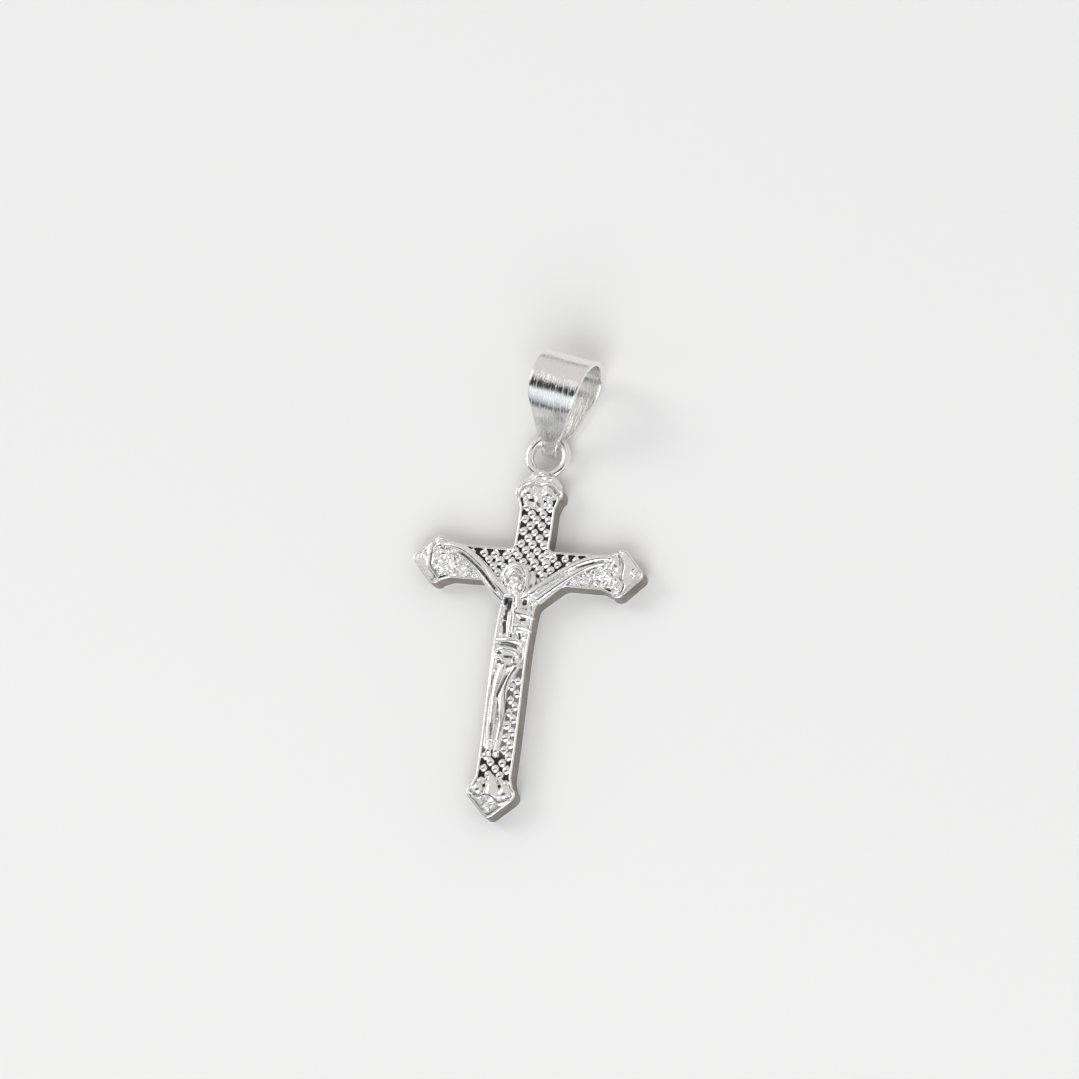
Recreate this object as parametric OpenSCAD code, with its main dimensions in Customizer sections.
// Crucifix pendant with a folded bail, lying on its back.
// The origin is on the back face, under the crossing of the two bars.
// X is across, Y up the cross, Z to the front.
// The figure's own left is at +X.

/* [Cross] */
// Length of the lower bar, from the crossing to its tip
foot_length = 13.8; // [13:0.1:18]
// Length of the upper bar, from the crossing to the tip of its finial
head_length = 5.46; // [5:0.02:7]
// Length of each arm, from the crossing to its tip
arm_length = 6.45; // [6.2:0.05:8]
// Width of the upright
upright_width = 1.95; // [1.85:0.05:2.3]
// Width of the arms
arm_width = 1.9; // [1.8:0.05:2.3]
// Thickness of the plate, from the back to the top of the rim
plate_thickness = 1.2; // [1:0.05:1.6]
// Width of the raised rim
rim_width = 0.13; // [0.1:0.01:0.2]
// Depth of the sunk field below the rim
field_depth = 0.2; // [0.12:0.01:0.3]
// Radius in the two upper corners of the crossing
corner_radius = 0.3; // [0.15:0.05:0.6]
// Width of the web that fills each lower corner, under the figure's arms
web_width = 1.2; // [0.8:0.05:1.5]

/* [Finials] */
// Width across the shoulders of a finial
finial_width = 2.66; // [2.5:0.02:3]
// Length from the tip to where the bar begins
finial_length = 2.2; // [2:0.05:2.6]
// Angle between the two sides at the tip
finial_angle = 94; // [86:1:104]
// Radius of the tip
tip_radius = 0.35; // [0.2:0.05:0.5]
// Radius of the shoulders
shoulder_radius = 0.45; // [0.35:0.05:0.55]
// Radius of the two round lobes
lobe_radius = 0.4; // [0.3:0.02:0.46]
// Distance between the centres of the two round lobes
lobe_spacing = 1.08; // [0.98:0.02:1.16]
// Distance from the tip to the centres of the round lobes
lobe_inset = 1.5; // [1.4:0.05:1.65]
// Length of the pointed lobe between the round ones
leaf_length = 1.1; // [0.8:0.05:1.4]
// Width of the pointed lobe
leaf_width = 0.62; // [0.5:0.02:0.8]
// Height of the round lobes above the rim
lobe_rise = 0.08; // [0.04:0.01:0.14]
// Width of the groove round the lobes
groove_width = 0.1; // [0.06:0.01:0.14]
// Radius of the bead near the tip
bead_radius = 0.15; // [0.1:0.01:0.2]
// Distance from the tip to the bead
bead_inset = 0.6; // [0.5:0.05:0.7]

/* [Pellets] */
// Radius of a pellet
pellet_radius = 0.175; // [0.14:0.005:0.19]
// Height of a pellet above the field
pellet_height = 0.16; // [0.12:0.01:0.17]
// Distance between the pellets of a row
pellet_pitch = 0.65; // [0.6:0.01:0.75]
// Distance between rows
row_pitch = 0.345; // [0.32:0.005:0.4]
// Height of the first row above the crossing
first_row = 0.6; // [0.5:0.01:0.65]

/* [Figure] */
// Height of the chest above the rim
chest_rise = 0.55; // [0.35:0.05:0.75]
// Radius of the chest
chest_radius = 0.68; // [0.55:0.01:0.75]
// Width of the face
face_width = 0.86; // [0.7:0.02:1]
// Length of the face, with the beard
face_length = 1.4; // [1.1:0.05:1.6]
// Width of the head with its hair
hair_width = 1.44; // [1.2:0.02:1.6]
// Length of the head with its hair
hair_length = 1.8; // [1.5:0.05:2]
// Distance from the crossing down to the centre of the head
head_drop = 0.93; // [0.85:0.01:1.1]
// Distance of the head from the middle line, towards the figure's right
head_lean = 0.42; // [0.2:0.02:0.5]
// Height of the face above the rim
head_rise = 0.88; // [0.7:0.02:1]
// Height of the face above the hair
face_rise = 0.2; // [0.1:0.02:0.3]
// Distance from the crossing down to the shoulders
shoulder_drop = 1.7; // [1.5:0.05:1.9]
// Distance from the crossing down to the waist
waist_drop = 4.5; // [4:0.1:4.8]
// Distance from the crossing down to the hem of the loincloth
hem_drop = 5.9; // [5.6:0.1:6.2]
// Distance from the crossing down to the ankles
ankle_drop = 9.75; // [9.2:0.05:10.2]
// Distance from the middle line to the tips of the hands
hand_reach = 4.9; // [4.5:0.05:5]
// Radius of the upper arm
arm_radius = 0.3; // [0.22:0.01:0.34]
// Radius of the thigh
thigh_radius = 0.42; // [0.34:0.01:0.46]
// Height of the legs above the rim
leg_rise = 0.42; // [0.25:0.01:0.5]

/* [Ring] */
// Radius of the ring, to the middle of its wire
ring_radius = 1.04; // [1:0.01:1.3]
// Thickness of the ring's wire
ring_wire = 0.54; // [0.4:0.01:0.58]
// Width of the neck under the ring
neck_width = 1.1; // [0.8:0.05:1.4]

/* [Bail] */
// Length of the bail from end to end
bail_length = 5.8; // [5.5:0.02:7.5]
// Depth of the loop at the fold
bail_depth = 3.95; // [3.4:0.05:4.4]
// Width of the strip at the fold
fold_width = 3; // [2.4:0.1:3.6]
// Width of the strip where it passes through the ring
tongue_width = 0.96; // [0.7:0.02:1]
// Thickness of the strip
sheet = 0.28; // [0.2:0.01:0.32]
// Inner radius of the lower bend
bend_radius = 0.2; // [0.14:0.01:0.25]
// Clearance between the strip and the ring's wire when the bail stands upright
swing_gap = 0.045; // [0.03:0.005:0.08]
// Angle by which the bail lies turned to the right
bail_yaw = 12; // [0:1:15]

/* [Hidden] */
$fn = 48;
eps = 0.02;

field_z = plate_thickness - field_depth;
hole_radius = ring_radius - ring_wire / 2;

// The strip passes inside and outside the wire, with the swing gap left on both sides
inner_reach = sqrt(pow(hole_radius, 2) - pow(tongue_width / 2, 2)) - swing_gap;
outer_reach = ring_radius + ring_wire / 2 + swing_gap;
axis_reach = (inner_reach + outer_reach) / 2;
half_gap = (outer_reach - inner_reach) / 2;

// The back of the bail lies on the surface that the cross lies on, which sets the height of the ring
ring_z = half_gap + sheet;

// Depth by which the tip of the upper finial runs into the ring's wire
ring_sink = 0.1;
ring_y = head_length + hole_radius + ring_sink;

// Outer radii of the loop's two arcs, the slope of its sides, and the arcs' places along its middle line
fold_outer = bail_depth / 2;
bend_outer = bend_radius + sheet;
centres = bail_length - fold_outer - bend_outer;
slope = asin((fold_outer - bend_outer) / centres);
bend_s = -(half_gap - bend_radius) / sin(slope);
fold_s = bend_s + centres;

// Each bar: the angle of its direction, its length, its width, and how far its bead lies from the tip
BARS = [
    [0, head_length, upright_width, bead_inset * 0.4],
    [90, arm_length, arm_width, bead_inset],
    [180, foot_length, upright_width, bead_inset],
    [270, arm_length, arm_width, bead_inset]
];

// The bail's outline: distance along the middle line, and half the strip's width there.
// Below the axis the distances are shares of the way to the lower bend, above it of the way to the fold.
STRIP = [
    [-2, 0.46, 0],
    [-0.5, 0.47, 0],
    [0, 0.5, 0],
    [0.06, 0.5, 0.08],
    [0.12, 0.5, 0.22],
    [0.24, 0.5, 0.32],
    [0.38, 0.5, 0.44],
    [0.59, 0.5, 0.58],
    [0.86, 0.5, 0.8],
    [1.14, 0.5, 0.9],
    [1.8, 0.5, 1]
];

// The arms: across as a share of the hand's reach on the figure's right and on its left,
// way up as a share of the shoulders' drop, half the width as a share of the upper arm's radius,
// height as a share of the chest's rise
ARMS = [
    [0.13, 0.13, -1.14, 0.9, 0.84],
    [0.24, 0.25, -0.86, 1, 0.8],
    [0.35, 0.37, -0.52, 0.95, 0.69],
    [0.5, 0.55, -0.14, 0.9, 0.55],
    [0.66, 0.71, 0.22, 0.85, 0.44],
    [0.86, 0.83, 0.43, 0.7, 0.33],
    [0.95, 0.95, 0.43, 0.55, 0.25],
    [1, 1, 0.42, 0.1, 0.04]
];

// Chest and belly: share of the way from the shoulders to the waist, sway as a share of the chest's radius,
// half the width as a share of that radius, height as a share of the chest's rise
TORSO = [
    [-0.1, 0, 0.5, 0.3],
    [0, 0, 1.2, 0.8],
    [0.15, 0, 1.25, 0.98],
    [0.32, 0.1, 1.08, 1],
    [0.5, 0.2, 0.98, 0.92],
    [0.68, 0.2, 0.88, 0.72],
    [0.84, 0.12, 0.95, 0.66],
    [1.05, 0, 1.15, 0.6]
];

// Loincloth: share of the way from the waist to the hem, sway and half the width as shares of half the
// upright's width, height as a share of the legs' rise
CLOTH = [
    [-0.06, 0, 0.85, 0.6],
    [0.04, 0, 1.04, 1.15],
    [0.3, 0, 1.03, 1.2],
    [0.7, -0.02, 1, 1.15],
    [0.95, -0.04, 0.92, 1.05],
    [1.05, -0.06, 0.8, 0.5]
];

// A leg: place across for the figure's right and left as shares of the thigh's radius, share of the way from
// the hem to the ankle, half the width as a share of that radius, height as a share of the legs' rise
LEGS = [
    [-1.1, 0.6, -0.15, 1, 0.9],
    [-1.15, 0.4, 0.1, 0.95, 1],
    [-1.22, 0.02, 0.32, 0.85, 1.08],
    [-1.15, 0.1, 0.48, 0.8, 0.9],
    [-1.12, 0.16, 0.66, 0.76, 0.88],
    [-1.02, -0.05, 0.9, 0.56, 0.7],
    [-0.98, -0.1, 1, 0.5, 0.66],
    [-0.98, -0.12, 1.04, 0.52, 0.9],
    [-0.94, -0.1, 1.16, 0.56, 0.95],
    [-0.9, -0.08, 1.25, 0.4, 0.5],
    [-0.9, -0.08, 1.28, 0.1, 0]
];

// Points on an arc from angle a to angle b
function arc(centre, radius, a, b, steps = 6) =
    [for (i = [0:steps]) centre + radius * [cos(a + (b - a) * i / steps), sin(a + (b - a) * i / steps)]];

// The same points across the middle line, in reverse order
function mirrored(points) = [for (i = [len(points) - 1:-1:0]) [-points[i][0], points[i][1]]];

// Distance from point p to the line between a and b
function line_distance(p, a, b) =
    let (share = min(1, max(0, ((p - a) * (b - a)) / ((b - a) * (b - a)))))
    norm(p - a - share * (b - a));

// Rows of a raised form: across, up, half the width and the height of its top
function arm_rows(side) = [for (a = ARMS) [
    side * hand_reach * a[side < 0 ? 0 : 1],
    shoulder_drop * a[2],
    arm_radius * a[3],
    plate_thickness + chest_rise * a[4]
]];

function torso_rows() = [for (t = TORSO) [
    chest_radius * t[1],
    -shoulder_drop - t[0] * (waist_drop - shoulder_drop),
    chest_radius * t[2],
    plate_thickness + chest_rise * t[3]
]];

function cloth_rows() = [for (c = CLOTH) [
    upright_width / 2 * c[1],
    -waist_drop - c[0] * (hem_drop - waist_drop),
    upright_width / 2 * c[2],
    plate_thickness + leg_rise * c[3]
]];

function leg_rows(side) = [for (l = LEGS) [
    thigh_radius * l[side < 0 ? 0 : 1],
    -hem_drop - l[2] * (ankle_drop - hem_drop),
    thigh_radius * l[3],
    plate_thickness + leg_rise * l[4]
]];

// Rows of an egg shape with its middle at a point, along the direction that the head leans in
function egg_rows(middle, length, half_width, top, steps = 8) = [for (i = [0:steps])
    let (along = -cos(180 * i / steps) * 0.995, round = sqrt(1 - along * along)) [
        middle[0] - along * length / 2 * sin(head_angle),
        middle[1] - along * length / 2 * cos(head_angle),
        half_width * round,
        field_z + (top - field_z) * round
]];

head_centre = [-head_lean, -head_drop];
head_angle = -8;

// Shortest distance in plan from point p to the lines through the given rows
function path_distance(p, rows) = min([for (i = [1:len(rows) - 1])
    line_distance(p, flat(rows[i - 1]), flat(rows[i]))]);
function flat(p) = [p[0], p[1]];

// Ends of the pointed lobes and of the feet
leaf_end = lobe_inset + leaf_length;
feet_end = ankle_drop + LEGS[len(LEGS) - 1][2] * (ankle_drop - hem_drop) - (ankle_drop - hem_drop);

// True where a pellet would lie under the head, the arms, the body, the legs or a pointed lobe
function covered(p) =
    norm(p - head_centre) < hair_width / 2 + pellet_radius / 2
    || min([for (side = [-1, 1]) path_distance(p, arm_rows(side))]) < arm_radius + pellet_radius / 3
    || p[1] < pellet_radius - shoulder_drop && p[1] > -hem_drop - 2 * pellet_radius
    || abs(p[0] + upright_width / 4) < upright_width / 3 && p[1] < 0 && p[1] > -feet_end - pellet_radius
    || abs(p[0]) < pellet_pitch / 3 && (p[1] > head_length - leaf_end || p[1] < leaf_end - foot_length)
    || abs(p[1]) < row_pitch && abs(p[0]) > arm_length - leaf_end;

// True inside the sunk field of a bar of the given width and length along the axis of p's first value
function on_bar(p, width, low, high) =
    abs(p[1]) < width / 2 - rim_width - pellet_radius * 0.75
    && p[0] > low + lobe_inset + lobe_radius + pellet_radius
    && p[0] < high - lobe_inset - lobe_radius - pellet_radius;

// A form raised from the casting along a line of rows, arched across and sunk into the plate
module raised(rows, sides = 8) {
    low = plate_thickness / 2;
    last = len(rows) - 1;
    around = sides + 3;
    points = [for (i = [0:last])
        let (way = flat(rows[min(i + 1, last)]) - flat(rows[max(i - 1, 0)]))
        let (across = [way[1], -way[0]] / norm(way))
        for (k = [-1:sides + 1])
            let (angle = 180 * min(sides, max(0, k)) / sides, out = rows[i][2] * cos(angle))
            [
                rows[i][0] + across[0] * out,
                rows[i][1] + across[1] * out,
                k < 0 || k > sides ? low : field_z + (rows[i][3] - field_z) * sin(angle)
            ]];
    polyhedron(points, concat(
        [[for (k = [around - 1:-1:0]) k]],
        [for (i = [0:last - 1], k = [0:around - 1])
            let (next = (k + 1) % around, a = i * around)
            each [[a + k, a + next, a + around + k], [a + next, a + around + next, a + around + k]]],
        [[for (k = [0:around - 1]) last * around + k]]
    ));
}

// Outline of a finial, with its tip at the origin and its end on the bar
module finial_outline(bar_width, inset) {
    half = finial_angle / 2;
    centre_x = finial_width / 2 - shoulder_radius;
    drop = (cos(half) * centre_x + shoulder_radius - tip_radius * (1 - sin(half))) / sin(half);
    side = concat(
        arc([0, -tip_radius], max(tip_radius - inset, eps), 90, half, 4),
        arc([centre_x, -drop], shoulder_radius - inset, half, -50, 8),
        [[bar_width / 2 - inset, -finial_length - eps]]
    );
    polygon(concat(side, mirrored(side)));
}

module bars_outline(inset) {
    for (bar = BARS)
        rotate([0, 0, bar[0]])
            translate([-bar[2] / 2 + inset, 0])
                square([bar[2] - 2 * inset, bar[1] - finial_length + eps]);
    corner = corner_radius + inset;
    for (side = [-1, 1])
        mirror([side < 0 ? 1 : 0, 0])
            translate([upright_width / 2 - inset, arm_width / 2 - inset])
                difference() {
                    translate([-eps, -eps])
                        square(corner + eps);
                    translate([corner, corner])
                        circle(r = corner);
                }
}

module plate() {
    linear_extrude(height = plate_thickness) {
        bars_outline(0);
        for (bar = BARS)
            rotate([0, 0, bar[0]])
                translate([0, bar[1]])
                    finial_outline(bar[2], 0);
        for (side = [-1, 1])
            polygon([
                [0, -arm_width / 2 + eps],
                [side * (upright_width / 2 + web_width), -arm_width / 2 + eps],
                [side * (upright_width / 2 - eps), -arm_width / 2 - web_width]
            ]);
    }
}

// The ground that is sunk round the lobes of a finial
module lobe_ground(bar_width) {
    bottom = finial_length + eps;
    intersection() {
        union() {
            for (side = [-1, 1])
                translate([side * lobe_spacing / 2, -lobe_inset])
                    circle(r = lobe_radius + groove_width);
            translate([-finial_width / 2, -bottom])
                square([finial_width, bottom - lobe_inset]);
        }
        finial_outline(bar_width, rim_width);
    }
}

module field() {
    translate([0, 0, field_z])
        linear_extrude(height = field_depth + eps) {
            bars_outline(rim_width);
            for (bar = BARS)
                rotate([0, 0, bar[0]])
                    translate([0, bar[1]])
                        lobe_ground(bar[2]);
        }
}

// A dome that stands on the field
module dome(radius, rise) {
    ball = (pow(radius, 2) + pow(rise, 2)) / (2 * rise);
    translate([0, 0, field_z + rise - ball])
        sphere(r = ball);
}

// The lobes and the bead of a finial, with its tip at the origin
module finial_relief(bead_place) {
    for (side = [-1, 1])
        translate([side * lobe_spacing / 2, -lobe_inset])
            dome(lobe_radius, field_depth + lobe_rise);
    leaf_radius = (pow(leaf_length, 2) + pow(leaf_width / 2, 2)) / leaf_width;
    leaf_offset = leaf_radius - leaf_width / 2;
    side = arc([-leaf_offset, 0], leaf_radius, 0, -atan2(leaf_length, leaf_offset));
    translate([0, -lobe_inset, field_z - eps])
        linear_extrude(height = field_depth + eps)
            polygon(concat(side, mirrored(side)));
    translate([0, -bead_place, plate_thickness])
        sphere(r = bead_radius);
}

module pellets() {
    rows = ceil((head_length + foot_length) / row_pitch);
    columns = ceil(arm_length / pellet_pitch);
    for (row = [-rows:rows], column = [-columns:columns]) {
        odd = abs(row) % 2;
        p = [(column + odd / 2) * pellet_pitch, first_row + row * row_pitch];
        upright = on_bar([p[1], p[0]], upright_width, -foot_length, head_length);
        across = on_bar(p, arm_width, -arm_length, arm_length);
        if ((upright || across) && !covered(p))
            translate(p)
                dome(pellet_radius, pellet_height);
    }
}

module figure() {
    for (side = [-1, 1]) {
        raised(arm_rows(side));
        raised(leg_rows(side));
    }
    raised(torso_rows(), 10);
    raised(cloth_rows(), 10);
    face_top = plate_thickness + head_rise;
    face_drop = (hair_length - face_length) / 3;
    raised(egg_rows(head_centre, hair_length, hair_width / 2, face_top - face_rise), 10);
    raised(egg_rows(head_centre - [0, face_drop], face_length, face_width / 2, face_top), 10);
}

module ring() {
    translate([0, ring_y, ring_z])
        rotate_extrude()
            translate([ring_radius, 0])
                circle(d = ring_wire);
    neck_length = 2 * ring_wire;
    translate([-neck_width / 2, head_length - tip_radius - neck_length, ring_z - ring_wire / 2])
        cube([neck_width, neck_length, ring_wire]);
}

module cross() {
    color([0.80, 0.79, 0.77]) {
        difference() {
            plate();
            field();
        }
        pellets();
        for (bar = BARS)
            rotate([0, 0, bar[0]])
                translate([0, bar[1]])
                    finial_relief(bar[3]);
        figure();
        ring();
    }
}

// Solid of the loop's side view, smaller all round by the given inset, with the axis at the origin
module loop_solid(inset, width) {
    fold_r = fold_outer - inset;
    bend_r = bend_outer - inset;
    normal = [-sin(slope), cos(slope)];
    side = [[bend_s, 0] + bend_r * normal, [fold_s, 0] + fold_r * normal];
    rotate([90, 0, 90])
        translate([0, 0, -width / 2]) {
            linear_extrude(height = width)
                polygon([side[0], side[1], [side[1][0], -side[1][1]], [side[0][0], -side[0][1]]]);
            translate([bend_s, 0, 0])
                cylinder(h = width, r = bend_r);
            translate([fold_s, 0, 0])
                cylinder(h = width, r = fold_r);
        }
}

// Half the strip's width in row i of its table, between the tongue's and the fold's
function strip_half(i) = tongue_width * STRIP[i][1] * (1 - STRIP[i][2]) + fold_width / 2 * STRIP[i][2];

module strip_outline() {
    side = [for (i = [0:len(STRIP) - 1])
        [strip_half(i), STRIP[i][0] * (STRIP[i][0] < 0 ? -bend_s : fold_s)]];
    translate([0, 0, -bail_depth])
        linear_extrude(height = 2 * bail_depth)
            polygon(concat(side, mirrored(side)));
}

module bail() {
    color([0.86, 0.85, 0.83])
        translate([0, ring_y, ring_z])
            rotate([0, 0, -bail_yaw])
                translate([0, axis_reach, 0])
                    rotate([slope, 0, 0])
                        intersection() {
                            difference() {
                                loop_solid(0, 2 * fold_width);
                                loop_solid(sheet, 3 * fold_width);
                            }
                            strip_outline();
                        }
}

cross();
bail();
